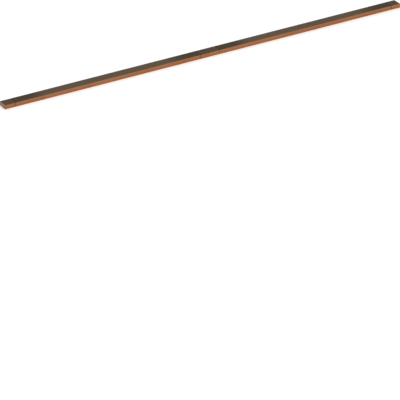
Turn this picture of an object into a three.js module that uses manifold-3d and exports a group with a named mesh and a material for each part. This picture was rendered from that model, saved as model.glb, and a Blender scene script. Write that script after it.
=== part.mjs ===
// Door sweep in two sections, with a spring-backed floating seal in each.
//
// Millimetres. X runs along the sweep, Y runs across it from the front face to the back one,
// and Z rises from the mounting face to the sealing face. The origin is at the middle of the
// mounting face. The sweep is the same when it is turned half round Z, so one half is built
// at -X and its twin is the same half turned.

import * as THREE from "three";
import { mergeVertices } from "three/addons/utils/BufferGeometryUtils.js";
import Module from "manifold-3d";

const wasm = await Module();
wasm.setup();

// ---- Driving dimensions ----

const LENGTH = 1000; // over both end plates
const WIDTH = 24; // front face to back face
const HEIGHT = 10; // mounting face to the tips of the seal
const END_UNIT = 24; // from an end to the middle of its first open joint
const COUPLER_UNIT = 48; // between the middles of the two centre joints
const SEAM = 1; // width of an open joint between neighbouring units
const FIT = 0.3; // clearance between pieces that touch
const OVERSHOOT = 1; // how far a cutting tool or a joined end runs past its face
const TRAVEL = 1.7; // how far a seal bar can be pressed in

// Channel and block section
const WALL = 1.2;
const WALL_TOP = 9.2;
const WEB = 1.6;
const FOOT_THICKNESS = 1.5;
const FOOT_LENGTH = 12;
const OUTER_EASE = 0.5; // rounding of the long outer corners
const RIM_EASE = 0.35; // rounding of the rims beside the seal
const INNER_EASE = 0.3;
const FIXING_FROM_END = 9.6; // from an end to the fixing hole in its block
const PEGS_FROM_END = 14; // from an end to the pegs of its pad
const COUPLER_FIXING_X = 7;
const COUPLER_PEG_X = 14;

// Seal bar, its groove and its end tongues
const BAR_BASE = 1.1;
const BAR_LIP = 0.8;
const BAR_HEIGHT = 3.2;
const BAR_SIDE_CLEARANCE = 0.4;
const GROOVE_HALF = 6.2;
const SLOT_HALF = 3.3;
const TONGUE_HALF = 5;
const TONGUE_LENGTH = 6.6;

// Seal strip
const STRIP_THICKNESS = 0.4;
const RIB_COUNT = 7;
const RIB_WIDTH = 2.2;
const RIB_STEPS = 8;

// Rubber pads over the blocks
const PAD_THICKNESS = 1.4;
const PAD_EASE = 0.45;
const PEG_RADIUS = 1.2;
const PEG_DEPTH = 2.7;
const PEG_Y = 7;

// Plates, screws, springs and rivets
const PLATE = 1.5;
const PLATE_SCREW_Y = 6.5;
const PLATE_SCREW_LENGTH = 8;
const JOINT_SCREW_LENGTH = 3.1;
const HEAD_RADIUS = 2.3;
const HEAD_EDGE = 0.15;
const HEAD_HEIGHT = 1.2;
const SHANK_RADIUS = 1.1;
const CONE_RELIEF = 0.1; // how much deeper a countersink's cone ends than its screw's
const HEAD_SINK = 0.1; // how far a head sits below the face it is in
const RECESS_ARM = 2.4;
const RECESS_WIDTH = 0.55;
const RECESS_DEPTH = 0.7;
const FIXING_RADIUS = 2.25;
const FIXING_HEAD_RADIUS = 4.3;
const SPRING_LENGTH = 110;
const SPRING_WIDTH = 9;
const SPRING_THICKNESS = 0.4;
const SPRING_STEPS = 28;
const SPRING_FROM_MIDDLE = 113; // from the middle of a section to a spring's crown
const RIVET_HEAD_RADIUS = 2.3;
const RIVET_HEAD = 0.5;
const DOME_STEPS = 3;
const ROUND_SIDES = 16;
const CURVE_STEPS = 3;

// ---- Levels and stations that follow from them ----

const END_X = -LENGTH / 2;
const SIDE_Y = WIDTH / 2;
const INNER_Y = SIDE_Y - WALL;
const END_BLOCK_X = END_X + PLATE + FIT;
const OUTER_SEAM_X = END_X + END_UNIT;
const INNER_SEAM_X = -COUPLER_UNIT / 2;
const COUPLER_HALF = (COUPLER_UNIT - SEAM) / 2;
const SECTION_X0 = OUTER_SEAM_X + SEAM / 2;
const SECTION_X1 = INNER_SEAM_X - SEAM / 2;
const SECTION_MID = (SECTION_X0 + SECTION_X1) / 2;

const FOOT_Z = WEB + FIT;
const FOOT_TOP = FOOT_Z + FOOT_THICKNESS;
const BAR_Z = FOOT_TOP + FIT + TRAVEL;
const BAR_TOP = BAR_Z + BAR_HEIGHT;
const GROOVE_Z = BAR_Z + BAR_BASE;
const POCKET_TOP = GROOVE_Z + FIT;
const STRIP_Z = BAR_TOP + FIT;
const RIB_Z = STRIP_Z + STRIP_THICKNESS;
const STRIP_HALF = INNER_Y - FIT;
const PAD_FLOOR = HEIGHT - PAD_THICKNESS - FIT;
const CROWN_Z = BAR_Z - FIT; // top of a spring's crown
const SPRING_XS = { outer: SECTION_MID - SPRING_FROM_MIDDLE, inner: SECTION_MID + SPRING_FROM_MIDDLE };
// The screws that join a channel to its neighbours sit in the middle of each foot.
const JOINT_XS = { outer: SECTION_X0 + FOOT_LENGTH / 2, inner: SECTION_X1 - FOOT_LENGTH / 2 };
const END_PEG_XS = [END_X + PEGS_FROM_END];
const COUPLER_PEG_XS = [-COUPLER_PEG_X, COUPLER_PEG_X];

// ---- Finishes ----

const finish = (color, metalness, roughness) =>
  new THREE.MeshStandardMaterial({ color, metalness, roughness });

const FINISH = {
  copper: finish(0xa06b49, 0.8, 0.42), // copper-anodised extrusion and castings
  bronze: finish(0x8b7055, 0.7, 0.5), // end plates
  mill: finish(0xb4b2ac, 0.9, 0.4), // plain aluminium seal bars
  seal: finish(0x5d4e3e, 0, 0.7), // extruded rubber seal
  pad: finish(0x574a3c, 0, 0.75), // moulded rubber pads
  steel: finish(0x9b9a98, 1, 0.35), // joint screws and rivets
  bronzed: finish(0x6e5a47, 0.9, 0.45), // plate screws
  spring: finish(0x77787a, 1, 0.3), // spring strip
};

// ---- Solids ----

const AXIS_X = new THREE.Vector3(1, 0, 0);
const AXIS_Y = new THREE.Vector3(0, 1, 0);
const AXIS_Z = new THREE.Vector3(0, 0, 1);
const SECTION_TO_X = new THREE.Matrix4().makeBasis(AXIS_Y, AXIS_Z, AXIS_X);
const PROFILE_TO_Y = new THREE.Matrix4().makeBasis(AXIS_X, AXIS_Z, AXIS_Y.clone().negate());

// A closed three.js geometry as a manifold-3d solid.
function solidOf(geometry) {
  const bare = geometry.clone();
  bare.deleteAttribute("normal");
  bare.deleteAttribute("uv");
  const merged = mergeVertices(bare, 1e-4);
  const corners = merged.index.array;
  const triVerts = [];
  for (let i = 0; i < corners.length; i += 3) {
    const [a, b, c] = corners.slice(i, i + 3);
    if (a !== b && b !== c && c !== a) triVerts.push(a, b, c);
  }
  const vertProperties = merged.attributes.position.array;
  const faces = { numProp: 3, vertProperties, triVerts: new Uint32Array(triVerts) };
  return new wasm.Manifold(new wasm.Mesh(faces));
}

function geometryOf(solid) {
  const mesh = solid.getMesh();
  const position = new THREE.BufferAttribute(new Float32Array(mesh.vertProperties), 3);
  return new THREE.BufferGeometry()
    .setAttribute("position", position)
    .setIndex(new THREE.BufferAttribute(new Uint32Array(mesh.triVerts), 1));
}

// The first geometry with the others joined to it, or cut away from it.
const combine = (step, [first, ...others]) =>
  geometryOf(others.reduce((whole, piece) => whole[step](solidOf(piece)), solidOf(first)));
const join = (...geometries) => combine("add", geometries);
const cut = (...geometries) => combine("subtract", geometries);

const box = (x0, x1, y0, y1, z0, z1) =>
  new THREE.BoxGeometry(x1 - x0, y1 - y0, z1 - z0).translate((x0 + x1) / 2, (y0 + y1) / 2, (z0 + z1) / 2);

// A closed solid of revolution about Z, from [radius, z] points that start and end on the axis.
function turned(points, sides = ROUND_SIDES) {
  const profile = points.map(([radius, z]) => new THREE.Vector2(radius, z));
  return geometryOf(solidOf(new THREE.LatheGeometry(profile, sides).rotateX(Math.PI / 2)));
}

const rod = (radius, z0, z1) => turned([[0, z0], [radius, z0], [radius, z1], [0, z1]]);

// A shape through [across, up, rounding] corners. A corner with no rounding stays sharp.
function easedShape(corners) {
  const shape = new THREE.Shape();
  corners.forEach(([across, up, ease = 0], i) => {
    const corner = new THREE.Vector2(across, up);
    const step = (other) => new THREE.Vector2(...other).sub(corner).setLength(ease).add(corner);
    const start = step(corners.at(i - 1).slice(0, 2));
    const end = step(corners[(i + 1) % corners.length].slice(0, 2));
    if (i === 0) shape.moveTo(start.x, start.y);
    else shape.lineTo(start.x, start.y);
    if (ease > 0) shape.quadraticCurveTo(corner.x, corner.y, end.x, end.y);
  });
  shape.closePath();
  return shape;
}

// A section in the (y, z) plane, run along X.
function runAlongX(shape, x0, x1) {
  const options = { depth: x1 - x0, bevelEnabled: false, curveSegments: CURVE_STEPS };
  return new THREE.ExtrudeGeometry(shape, options).applyMatrix4(SECTION_TO_X).translate(x0, 0, 0);
}

// ---- Sub-parts ----

// The long U extrusion that holds a floating seal.
function channel() {
  const section = easedShape([
    [-SIDE_Y, 0, OUTER_EASE],
    [SIDE_Y, 0, OUTER_EASE],
    [SIDE_Y, WALL_TOP, RIM_EASE],
    [INNER_Y, WALL_TOP, RIM_EASE],
    [INNER_Y, WEB, INNER_EASE],
    [-INNER_Y, WEB, INNER_EASE],
    [-INNER_Y, WALL_TOP, RIM_EASE],
    [-SIDE_Y, WALL_TOP, RIM_EASE],
  ]);
  const hole = (x) => screwSpace(JOINT_SCREW_LENGTH).translate(x, 0, HEAD_SINK);
  const holes = Object.values(JOINT_XS).map(hole);
  return cut(runAlongX(section, SECTION_X0, SECTION_X1), ...holes);
}

// A block of the channel's own outline with a shallow tray on top for a rubber pad. Each open
// end has a foot, which lies on the next channel's web, and a pocket for a seal bar's tongue.
function block(x0, x1, openEnds, fixingXs, pegXs) {
  const section = easedShape([
    [-SIDE_Y, 0, OUTER_EASE],
    [SIDE_Y, 0, OUTER_EASE],
    [SIDE_Y, WALL_TOP, RIM_EASE],
    [INNER_Y, WALL_TOP, RIM_EASE],
    [INNER_Y, PAD_FLOOR],
    [-INNER_Y, PAD_FLOOR],
    [-INNER_Y, WALL_TOP, RIM_EASE],
    [-SIDE_Y, WALL_TOP, RIM_EASE],
  ]);
  const feet = openEnds.map((end) => foot(end < 0 ? x0 : x1, end));
  const spaces = [
    ...openEnds.flatMap((end) => [pocket(end < 0 ? x0 : x1, end), footScrewSpace(end < 0 ? x0 : x1, end)]),
    ...fixingXs.map((x) => fixingHole().translate(x, 0, 0)),
    ...pegXs.flatMap((x) => [-PEG_Y, PEG_Y].map((y) => pegSpace().translate(x, y, 0))),
  ];
  return cut(join(runAlongX(section, x0, x1), ...feet), ...spaces);
}

const span = (a, b) => [Math.min(a, b), Math.max(a, b)];

// A foot is narrower than the channel, to clear the rounded corners beside the web.
function foot(faceX, end) {
  const half = INNER_Y - 2 * FIT;
  const ends = span(faceX - end * OVERSHOOT, faceX + end * (SEAM + FOOT_LENGTH));
  return box(...ends, -half, half, FOOT_Z, FOOT_TOP);
}

function footScrewSpace(faceX, end) {
  const hole = rod(SHANK_RADIUS + FIT, FOOT_Z - OVERSHOOT, FOOT_TOP + OVERSHOOT);
  return hole.translate(faceX + end * (SEAM + FOOT_LENGTH / 2), 0, 0);
}

function pocket(faceX, end) {
  const deepX = faceX - end * (TONGUE_LENGTH - SEAM + FIT);
  const half = TONGUE_HALF + FIT;
  return box(...span(deepX, faceX + end * OVERSHOOT), -half, half, FOOT_TOP, POCKET_TOP);
}

// A countersunk clearance hole for a fixing screw, driven from the sealing side under the pad.
function fixingHole() {
  const coneZ = PAD_FLOOR - (FIXING_HEAD_RADIUS - FIXING_RADIUS);
  return turned([
    [0, -OVERSHOOT],
    [FIXING_RADIUS, -OVERSHOOT],
    [FIXING_RADIUS, coneZ],
    [FIXING_HEAD_RADIUS, PAD_FLOOR],
    [FIXING_HEAD_RADIUS, HEIGHT],
    [0, HEIGHT],
  ]);
}

const pegSpace = () => rod(PEG_RADIUS + FIT, PAD_FLOOR - PEG_DEPTH, HEIGHT);

const endBlock = () =>
  cut(
    block(END_BLOCK_X, OUTER_SEAM_X - SEAM / 2, [1], [END_X + FIXING_FROM_END], END_PEG_XS),
    ...[-PLATE_SCREW_Y, PLATE_SCREW_Y].map((y) => plateScrewSpace(y)),
  );

const coupler = () =>
  block(-COUPLER_HALF, COUPLER_HALF, [-1, 1], [-COUPLER_FIXING_X, COUPLER_FIXING_X], COUPLER_PEG_XS);

// The flat plate that closes an end, held by two countersunk screws.
function endPlate() {
  const outline = easedShape([
    [-SIDE_Y, 0, OUTER_EASE],
    [SIDE_Y, 0, OUTER_EASE],
    [SIDE_Y, WALL_TOP, OUTER_EASE],
    [-SIDE_Y, WALL_TOP, OUTER_EASE],
  ]);
  const plate = runAlongX(outline, END_X, END_X + PLATE);
  return cut(plate, ...[-PLATE_SCREW_Y, PLATE_SCREW_Y].map((y) => plateScrewSpace(y)));
}

const plateScrewSpace = (y) =>
  screwSpace(PLATE_SCREW_LENGTH).rotateY(Math.PI / 2).translate(END_X + HEAD_SINK, y, WALL_TOP / 2);

// A moulded pad with pegs that press into the block under it.
function pad(x0, x1, pegXs) {
  const section = easedShape([
    [-STRIP_HALF, HEIGHT - PAD_THICKNESS],
    [STRIP_HALF, HEIGHT - PAD_THICKNESS],
    [STRIP_HALF, HEIGHT, PAD_EASE],
    [-STRIP_HALF, HEIGHT, PAD_EASE],
  ]);
  const peg = () => rod(PEG_RADIUS, PAD_FLOOR - PEG_DEPTH + FIT, HEIGHT - PAD_THICKNESS / 2);
  const pegs = pegXs.flatMap((x) => [-PEG_Y, PEG_Y].map((y) => peg().translate(x, y, 0)));
  return join(runAlongX(section, x0, x1), ...pegs);
}

// The floating bar: a flat extrusion with a T groove, and a milled tongue at each end.
function sealBar() {
  const half = INNER_Y - BAR_SIDE_CLEARANCE;
  const lipZ = BAR_TOP - BAR_LIP;
  const section = easedShape([
    [-half, BAR_Z, INNER_EASE],
    [half, BAR_Z, INNER_EASE],
    [half, BAR_TOP, INNER_EASE],
    [SLOT_HALF, BAR_TOP],
    [SLOT_HALF, lipZ],
    [GROOVE_HALF, lipZ],
    [GROOVE_HALF, GROOVE_Z],
    [-GROOVE_HALF, GROOVE_Z],
    [-GROOVE_HALF, lipZ],
    [-SLOT_HALF, lipZ],
    [-SLOT_HALF, BAR_TOP],
    [-half, BAR_TOP, INNER_EASE],
  ]);
  const tongue = (x0, x1) => box(x0, x1, -TONGUE_HALF, TONGUE_HALF, BAR_Z, GROOVE_Z);
  const bar = join(
    runAlongX(section, SECTION_X0, SECTION_X1),
    tongue(SECTION_X0 - TONGUE_LENGTH, SECTION_X0 + OVERSHOOT),
    tongue(SECTION_X1 - OVERSHOOT, SECTION_X1 + TONGUE_LENGTH),
  );
  const rivetHoles = Object.values(SPRING_XS).map((x) =>
    rod(SHANK_RADIUS + FIT, BAR_Z - OVERSHOOT, GROOVE_Z + BAR_LIP / 2).translate(x, 0, 0),
  );
  return cut(bar, ...rivetHoles);
}

// The rubber strip: a T foot in the bar's groove under a flat strip with rounded ribs on it.
function sealStrip() {
  const footHalf = GROOVE_HALF - FIT;
  const neckHalf = SLOT_HALF - FIT;
  const footTop = BAR_TOP - BAR_LIP - FIT;
  const footZ = GROOVE_Z + FIT;
  const section = new THREE.Shape();
  section.moveTo(-footHalf, footZ);
  section.lineTo(footHalf, footZ);
  section.lineTo(footHalf, footTop);
  section.lineTo(neckHalf, footTop);
  section.lineTo(neckHalf, STRIP_Z);
  section.lineTo(STRIP_HALF, STRIP_Z);
  const pitch = (2 * STRIP_HALF - RIB_WIDTH) / (RIB_COUNT - 1);
  for (let rib = RIB_COUNT - 1; rib >= 0; rib--) {
    const middle = -STRIP_HALF + RIB_WIDTH / 2 + rib * pitch;
    for (let step = 0; step <= RIB_STEPS; step++) {
      const turn = (Math.PI * step) / RIB_STEPS;
      section.lineTo(middle + (RIB_WIDTH / 2) * Math.cos(turn), RIB_Z + (HEIGHT - RIB_Z) * Math.sin(turn));
    }
  }
  section.lineTo(-STRIP_HALF, STRIP_Z);
  section.lineTo(-neckHalf, STRIP_Z);
  section.lineTo(-neckHalf, footTop);
  section.lineTo(-footHalf, footTop);
  section.closePath();
  return runAlongX(section, SECTION_X0, SECTION_X1);
}

// A bow spring of thin strip: level at both feet and at the crown, where the rivet goes through.
function bowSpring() {
  const rise = CROWN_Z - SPRING_THICKNESS - FOOT_Z;
  const under = (x) => FOOT_Z + rise * Math.cos((Math.PI * x) / SPRING_LENGTH) ** 2;
  const xs = Array.from({ length: SPRING_STEPS + 1 }, (_, i) => SPRING_LENGTH * (i / SPRING_STEPS - 0.5));
  const below = xs.map((x) => new THREE.Vector2(x, under(x)));
  const above = xs.map((x) => new THREE.Vector2(x, under(x) + SPRING_THICKNESS)).reverse();
  const strip = new THREE.ExtrudeGeometry(new THREE.Shape([...below, ...above]), {
    depth: SPRING_WIDTH,
    bevelEnabled: false,
  });
  strip.applyMatrix4(PROFILE_TO_Y).translate(0, SPRING_WIDTH / 2, 0);
  return cut(strip, rod(SHANK_RADIUS + FIT, FOOT_Z, HEIGHT));
}

// A rivet with a domed head under the spring's crown and its shank in the bar.
function rivet() {
  const headTop = CROWN_Z - SPRING_THICKNESS - FIT;
  const dome = Array.from({ length: DOME_STEPS + 1 }, (_, step) => {
    const turn = (Math.PI / 2) * (step / DOME_STEPS);
    return [RIVET_HEAD_RADIUS * Math.sin(turn), headTop - RIVET_HEAD * Math.cos(turn)];
  });
  return turned([
    ...dome,
    [SHANK_RADIUS, headTop],
    [SHANK_RADIUS, GROOVE_Z - FIT],
    [0, GROOVE_Z - FIT],
  ]);
}

// A countersunk screw along +Z from its head, or the space that it needs.
const screwProfile = (length, grow, mouth) => [
  [0, mouth],
  [HEAD_RADIUS + grow, mouth],
  [HEAD_RADIUS + grow, HEAD_EDGE],
  [SHANK_RADIUS + grow, HEAD_HEIGHT + (grow > 0 ? CONE_RELIEF : 0)],
  [SHANK_RADIUS + grow, length + grow],
  [0, length + grow],
];

const screwSpace = (length) => turned(screwProfile(length, FIT, -OVERSHOOT));

function screw(length) {
  const arm = (sizeX, sizeY) =>
    box(-sizeX / 2, sizeX / 2, -sizeY / 2, sizeY / 2, -OVERSHOOT, RECESS_DEPTH);
  const cross = [arm(RECESS_ARM, RECESS_WIDTH), arm(RECESS_WIDTH, RECESS_ARM)];
  return cut(turned(screwProfile(length, 0, 0)), ...cross);
}

// ---- Assembly ----

function mesh(name, geometry, material, x = 0, y = 0, z = 0) {
  const made = new THREE.Mesh(geometry, material);
  made.name = name;
  made.position.set(x, y, z);
  return made;
}

// Everything on one side of the coupler, built at -X and turned half round for the other side.
function half(side) {
  const group = new THREE.Group();
  group.add(
    mesh(`${side}_channel`, channel(), FINISH.copper),
    mesh(`${side}_end_block`, endBlock(), FINISH.copper),
    mesh(`${side}_end_plate`, endPlate(), FINISH.bronze),
    mesh(`${side}_end_pad`, pad(END_BLOCK_X, OUTER_SEAM_X - SEAM / 2, END_PEG_XS), FINISH.pad),
    mesh(`${side}_seal_bar`, sealBar(), FINISH.mill),
    mesh(`${side}_seal`, sealStrip(), FINISH.seal),
  );
  for (const [place, x] of Object.entries(SPRING_XS)) {
    group.add(mesh(`${side}_spring_${place}`, bowSpring(), FINISH.spring, x));
    group.add(mesh(`${side}_spring_rivet_${place}`, rivet(), FINISH.steel, x));
  }
  for (const [place, x] of Object.entries(JOINT_XS)) {
    const name = `${side}_joint_screw_${place}`;
    group.add(mesh(name, screw(JOINT_SCREW_LENGTH), FINISH.steel, x, 0, HEAD_SINK));
  }
  for (const [place, y] of [["a", -PLATE_SCREW_Y], ["b", PLATE_SCREW_Y]]) {
    const name = `${side}_plate_screw_${place}`;
    const made = mesh(name, screw(PLATE_SCREW_LENGTH), FINISH.bronzed, END_X + HEAD_SINK, y, WALL_TOP / 2);
    made.rotation.y = Math.PI / 2;
    group.add(made);
  }
  group.rotation.z = side === "left" ? 0 : Math.PI;
  return group;
}

const sweep = new THREE.Group();
sweep.name = "door_sweep";
sweep.add(
  half("left"),
  half("right"),
  mesh("centre_coupler", coupler(), FINISH.copper),
  mesh("centre_pad", pad(-COUPLER_HALF, COUPLER_HALF, COUPLER_PEG_XS), FINISH.pad),
);

export default sweep;
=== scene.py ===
# %% [markdown]
# # A two-section door sweep
#
# The sweep is a slim bar, one metre long, that is screwed along the edge of a door. Two long
# copper-coloured channels meet at a coupler in the middle and end in short blocks. In each channel
# a ribbed rubber seal sits on a grooved bar, and the bar floats on bow springs, so that the seal
# follows an uneven floor.
#
# The CAD frame already fixes every size, place and motion. This script models each piece again
# with the edges, ribs, threads and recesses of the real one, gives it a finish, and hands it the
# motion of the CAD part that it stands for.

# %% Load the frame
import bmesh
import bpy
import contextlib
import math
from mathutils import Matrix, Vector


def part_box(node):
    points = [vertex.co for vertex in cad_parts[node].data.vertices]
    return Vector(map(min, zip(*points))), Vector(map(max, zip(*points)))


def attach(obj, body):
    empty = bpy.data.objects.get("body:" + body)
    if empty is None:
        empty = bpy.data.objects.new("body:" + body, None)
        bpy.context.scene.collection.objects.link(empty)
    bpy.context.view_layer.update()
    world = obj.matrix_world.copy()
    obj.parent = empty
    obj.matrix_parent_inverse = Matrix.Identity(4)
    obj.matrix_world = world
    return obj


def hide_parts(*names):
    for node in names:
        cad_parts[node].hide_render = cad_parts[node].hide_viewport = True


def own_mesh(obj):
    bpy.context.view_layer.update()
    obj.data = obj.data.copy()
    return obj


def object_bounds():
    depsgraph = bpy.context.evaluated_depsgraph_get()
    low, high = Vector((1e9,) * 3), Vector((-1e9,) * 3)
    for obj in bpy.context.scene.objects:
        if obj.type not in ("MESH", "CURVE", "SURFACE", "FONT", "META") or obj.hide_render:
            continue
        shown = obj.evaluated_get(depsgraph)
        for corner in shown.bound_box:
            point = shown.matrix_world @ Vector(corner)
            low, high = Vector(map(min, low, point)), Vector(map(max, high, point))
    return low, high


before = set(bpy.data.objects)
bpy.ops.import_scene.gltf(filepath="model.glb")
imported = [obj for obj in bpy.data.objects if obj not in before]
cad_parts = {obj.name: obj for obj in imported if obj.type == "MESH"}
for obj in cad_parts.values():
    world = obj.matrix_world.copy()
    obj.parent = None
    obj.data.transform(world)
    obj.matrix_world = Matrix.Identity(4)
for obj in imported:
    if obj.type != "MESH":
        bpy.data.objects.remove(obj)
CAD_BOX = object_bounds()
MM = 0.001

# %% [markdown]
# ## Camera
#
# The sweep is so long and thin that only a long lens, far away, shows it without a strong taper.
# The camera stands to the left, in front and above. It looks at a point well below the sweep, so
# that the bar runs across the top of the picture.

# %% Stand the camera
CAMERA_TURN = math.radians(-31.21)
CAMERA_LIFT = math.radians(25.28)
CAMERA_DISTANCE = 5.851
CAMERA_LENS_MM = 242.25
AIM_SIDE = -0.0161
AIM_DROP = -0.3591
FAR_CLIP = 100


def stand_camera():
    flat = math.cos(CAMERA_LIFT)
    toward = (math.sin(CAMERA_TURN) * flat, -math.cos(CAMERA_TURN) * flat, math.sin(CAMERA_LIFT))
    place = Vector(toward) * CAMERA_DISTANCE
    side = Vector((math.cos(CAMERA_TURN), math.sin(CAMERA_TURN), 0))
    aim = side * AIM_SIDE + Vector((0, 0, AIM_DROP))
    camera = bpy.data.objects.new("camera", bpy.data.cameras.new("camera"))
    bpy.context.scene.collection.objects.link(camera)
    camera.location = place
    camera.rotation_euler = (aim - place).to_track_quat("-Z", "Y").to_euler()
    camera.data.lens = CAMERA_LENS_MM
    camera.data.clip_end = FAR_CLIP
    bpy.context.scene.camera = camera
    return camera


camera = stand_camera()
print("camera at", tuple(round(x, 3) for x in camera.location))

# %% [markdown]
# ## Selecting
#
# Blender's operators act on whatever is selected, and loading the frame leaves every CAD part
# selected. So each step starts from an empty selection. Inside edit mode, faces and edges are
# picked by where they are and which way they look, as a hand would pick them with the mouse.

# %% Selecting and editing helpers
TINY = 0.002 * MM


def near(a, b):
    return abs(a - b) < TINY


def select_only(obj):
    bpy.ops.object.select_all(action="DESELECT")
    obj.select_set(True)
    bpy.context.view_layer.objects.active = obj


@contextlib.contextmanager
def editing(obj):
    """Edit mode on one object, with everything in it selected."""
    select_only(obj)
    bpy.ops.object.mode_set(mode="EDIT")
    bpy.ops.mesh.select_all(action="SELECT")
    yield
    bpy.ops.object.mode_set(mode="OBJECT")


def pick_faces(obj, wanted):
    """Select the faces whose centre and normal pass a test, and nothing else."""
    bpy.ops.mesh.select_mode(type="FACE")
    bpy.ops.mesh.select_all(action="DESELECT")
    mesh = bmesh.from_edit_mesh(obj.data)
    found = [f for f in mesh.faces if wanted(f.calc_center_median(), f.normal)]
    for face in found:
        face.select_set(True)
    bmesh.update_edit_mesh(obj.data)
    return len(found)


def pick_edges(obj, wanted):
    """Select the edges whose two ends pass a test, and nothing else."""
    bpy.ops.mesh.select_mode(type="EDGE")
    bpy.ops.mesh.select_all(action="DESELECT")
    mesh = bmesh.from_edit_mesh(obj.data)
    found = [e for e in mesh.edges if wanted(*(v.co for v in e.verts))]
    for edge in found:
        edge.select_set(True)
    bmesh.update_edit_mesh(obj.data)
    return len(found)


# %% [markdown]
# ## Stage and light
#
# A product shot on white: a wide white table, an even white sky, and two large softboxes. The sky
# does most of the work. The softboxes only add a little direction, so that the top and the front
# of the bar read as two faces.

# %% Floor, sky and softboxes
FLOOR_SIZE = 60
TABLE_WHITE, TABLE_ROUGHNESS = (0.93, 0.93, 0.93, 1), 0.9
SKY_STRENGTH = 0.9
SOFTBOX_SIZE = 2.4
KEY_PLACE, KEY_WATTS = (-1.6, -2.4, 3.0), 60
FILL_PLACE, FILL_WATTS = (2.6, 1.8, 2.6), 14


def new_finish(name):
    """A material with a Principled shader, and the parts of its node tree."""
    finish = bpy.data.materials.new(name)
    finish.use_nodes = True
    tree = finish.node_tree
    return finish, tree.nodes, tree.links, tree.nodes["Principled BSDF"]


def lay_floor():
    bpy.ops.object.select_all(action="DESELECT")
    bpy.ops.mesh.primitive_plane_add(size=FLOOR_SIZE, location=(0, 0, CAD_BOX[0].z))
    floor = bpy.context.object
    floor.name = "floor"
    finish, _, _, shader = new_finish("white_table")
    shader.inputs["Base Color"].default_value = TABLE_WHITE
    shader.inputs["Roughness"].default_value = TABLE_ROUGHNESS
    floor.data.materials.append(finish)


def light_sky():
    world = bpy.data.worlds.new("studio")
    bpy.context.scene.world = world
    world.use_nodes = True
    background = world.node_tree.nodes["Background"]
    background.inputs["Color"].default_value = (1, 1, 1, 1)
    background.inputs["Strength"].default_value = SKY_STRENGTH


def hang_softbox(name, place, size, watts):
    light = bpy.data.lights.new(name, "AREA")
    light.shape = "SQUARE"
    light.size = size
    light.energy = watts
    holder = bpy.data.objects.new(name, light)
    bpy.context.scene.collection.objects.link(holder)
    holder.location = place
    holder.rotation_euler = (-Vector(place)).to_track_quat("-Z", "Y").to_euler()


lay_floor()
light_sky()
hang_softbox("key_softbox", KEY_PLACE, SOFTBOX_SIZE, KEY_WATTS)
hang_softbox("fill_softbox", FILL_PLACE, SOFTBOX_SIZE, FILL_WATTS)
bpy.context.scene.view_settings.view_transform = "Standard"
print("sky strength", SKY_STRENGTH, "and two softboxes")

# %% [markdown]
# ## Finishes
#
# Every finish is built from a few small steps: a noise pattern on the piece's own coordinates,
# stretched so that it follows the way the metal was drawn or brushed, then sent to the colour, the
# roughness and a shallow bump. Patterns are in metres, so a stretch of 1000 means one wave in each
# millimetre. Most of a noise lies between 0.3 and 0.7, so that is the range that is spread out. A
# slow cloud of colour spreads a little less of it.

# %% Node helpers
NOISE_RANGE, CLOUD_RANGE = (0.3, 0.7), (0.35, 0.65)
FINE_BUMP = 0.02 * MM


def stretched_place(nodes, links, stretch):
    place = nodes.new("ShaderNodeTexCoord")
    mapping = nodes.new("ShaderNodeMapping")
    mapping.inputs["Scale"].default_value = stretch
    links.new(place.outputs["Object"], mapping.inputs["Vector"])
    return mapping.outputs["Vector"]


def grain(nodes, links, stretch, detail=3):
    """A noise from 0 to 1 with so many waves in each metre along x, y and z."""
    pattern = nodes.new("ShaderNodeTexNoise")
    pattern.inputs["Scale"].default_value = 1
    pattern.inputs["Detail"].default_value = detail
    links.new(stretched_place(nodes, links, stretch), pattern.inputs["Vector"])
    return pattern.outputs[0]


def rescale(nodes, links, value, start, end, low=0.0, high=1.0):
    """Map a value from start..end to low..high with smooth ends."""
    ramp = nodes.new("ShaderNodeMapRange")
    ramp.interpolation_type = "SMOOTHSTEP"
    for socket, number in zip(("From Min", "From Max", "To Min", "To Max"), (start, end, low, high)):
        ramp.inputs[socket].default_value = number
    links.new(value, ramp.inputs["Value"])
    return ramp.outputs["Result"]


def blend_colour(nodes, links, share, first, second):
    """first where the share is 0 and second where it is 1. Each is a colour or a node's output."""
    mix = nodes.new("ShaderNodeMix")
    mix.data_type = "RGBA"
    share_in, first_in, second_in = mix.inputs[0], mix.inputs[6], mix.inputs[7]
    links.new(share, share_in)
    for colour, socket in ((first, first_in), (second, second_in)):
        if isinstance(colour, tuple):
            socket.default_value = (*colour, 1)
        else:
            links.new(colour, socket)
    return mix.outputs[2]


def emboss(nodes, links, shader, height, depth, strength=1.0):
    bump = nodes.new("ShaderNodeBump")
    bump.inputs["Distance"].default_value = depth
    bump.inputs["Strength"].default_value = strength
    links.new(height, bump.inputs["Height"])
    links.new(bump.outputs["Normal"], shader.inputs["Normal"])


def height_above_floor(nodes, links):
    place = nodes.new("ShaderNodeTexCoord")
    split = nodes.new("ShaderNodeSeparateXYZ")
    links.new(place.outputs["Object"], split.inputs["Vector"])
    return split.outputs["Z"]


# %% [markdown]
# ### Copper anodising
#
# The channels, blocks and coupler are aluminium, anodised in copper. Anodising keeps the fine
# lengthwise die lines of the extrusion and takes up its dye a little unevenly, so the colour
# drifts slowly along the bar. The top rims are rubbed a little brighter, because hands, the floor
# and the packing touch them first.

# %% Copper anodising
COPPER = (0.350, 0.140, 0.059)
COPPER_PALE = (0.379, 0.159, 0.070)
COPPER_RUBBED = (0.44, 0.21, 0.11)
RIM_START, RIM_TOP = 8.7 * MM, 9.2 * MM
WORN_RANGE, MOST_WORN = (0.5, 0.75), 0.5
COPPER_ROUGHNESS = (0.36, 0.5)


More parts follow.
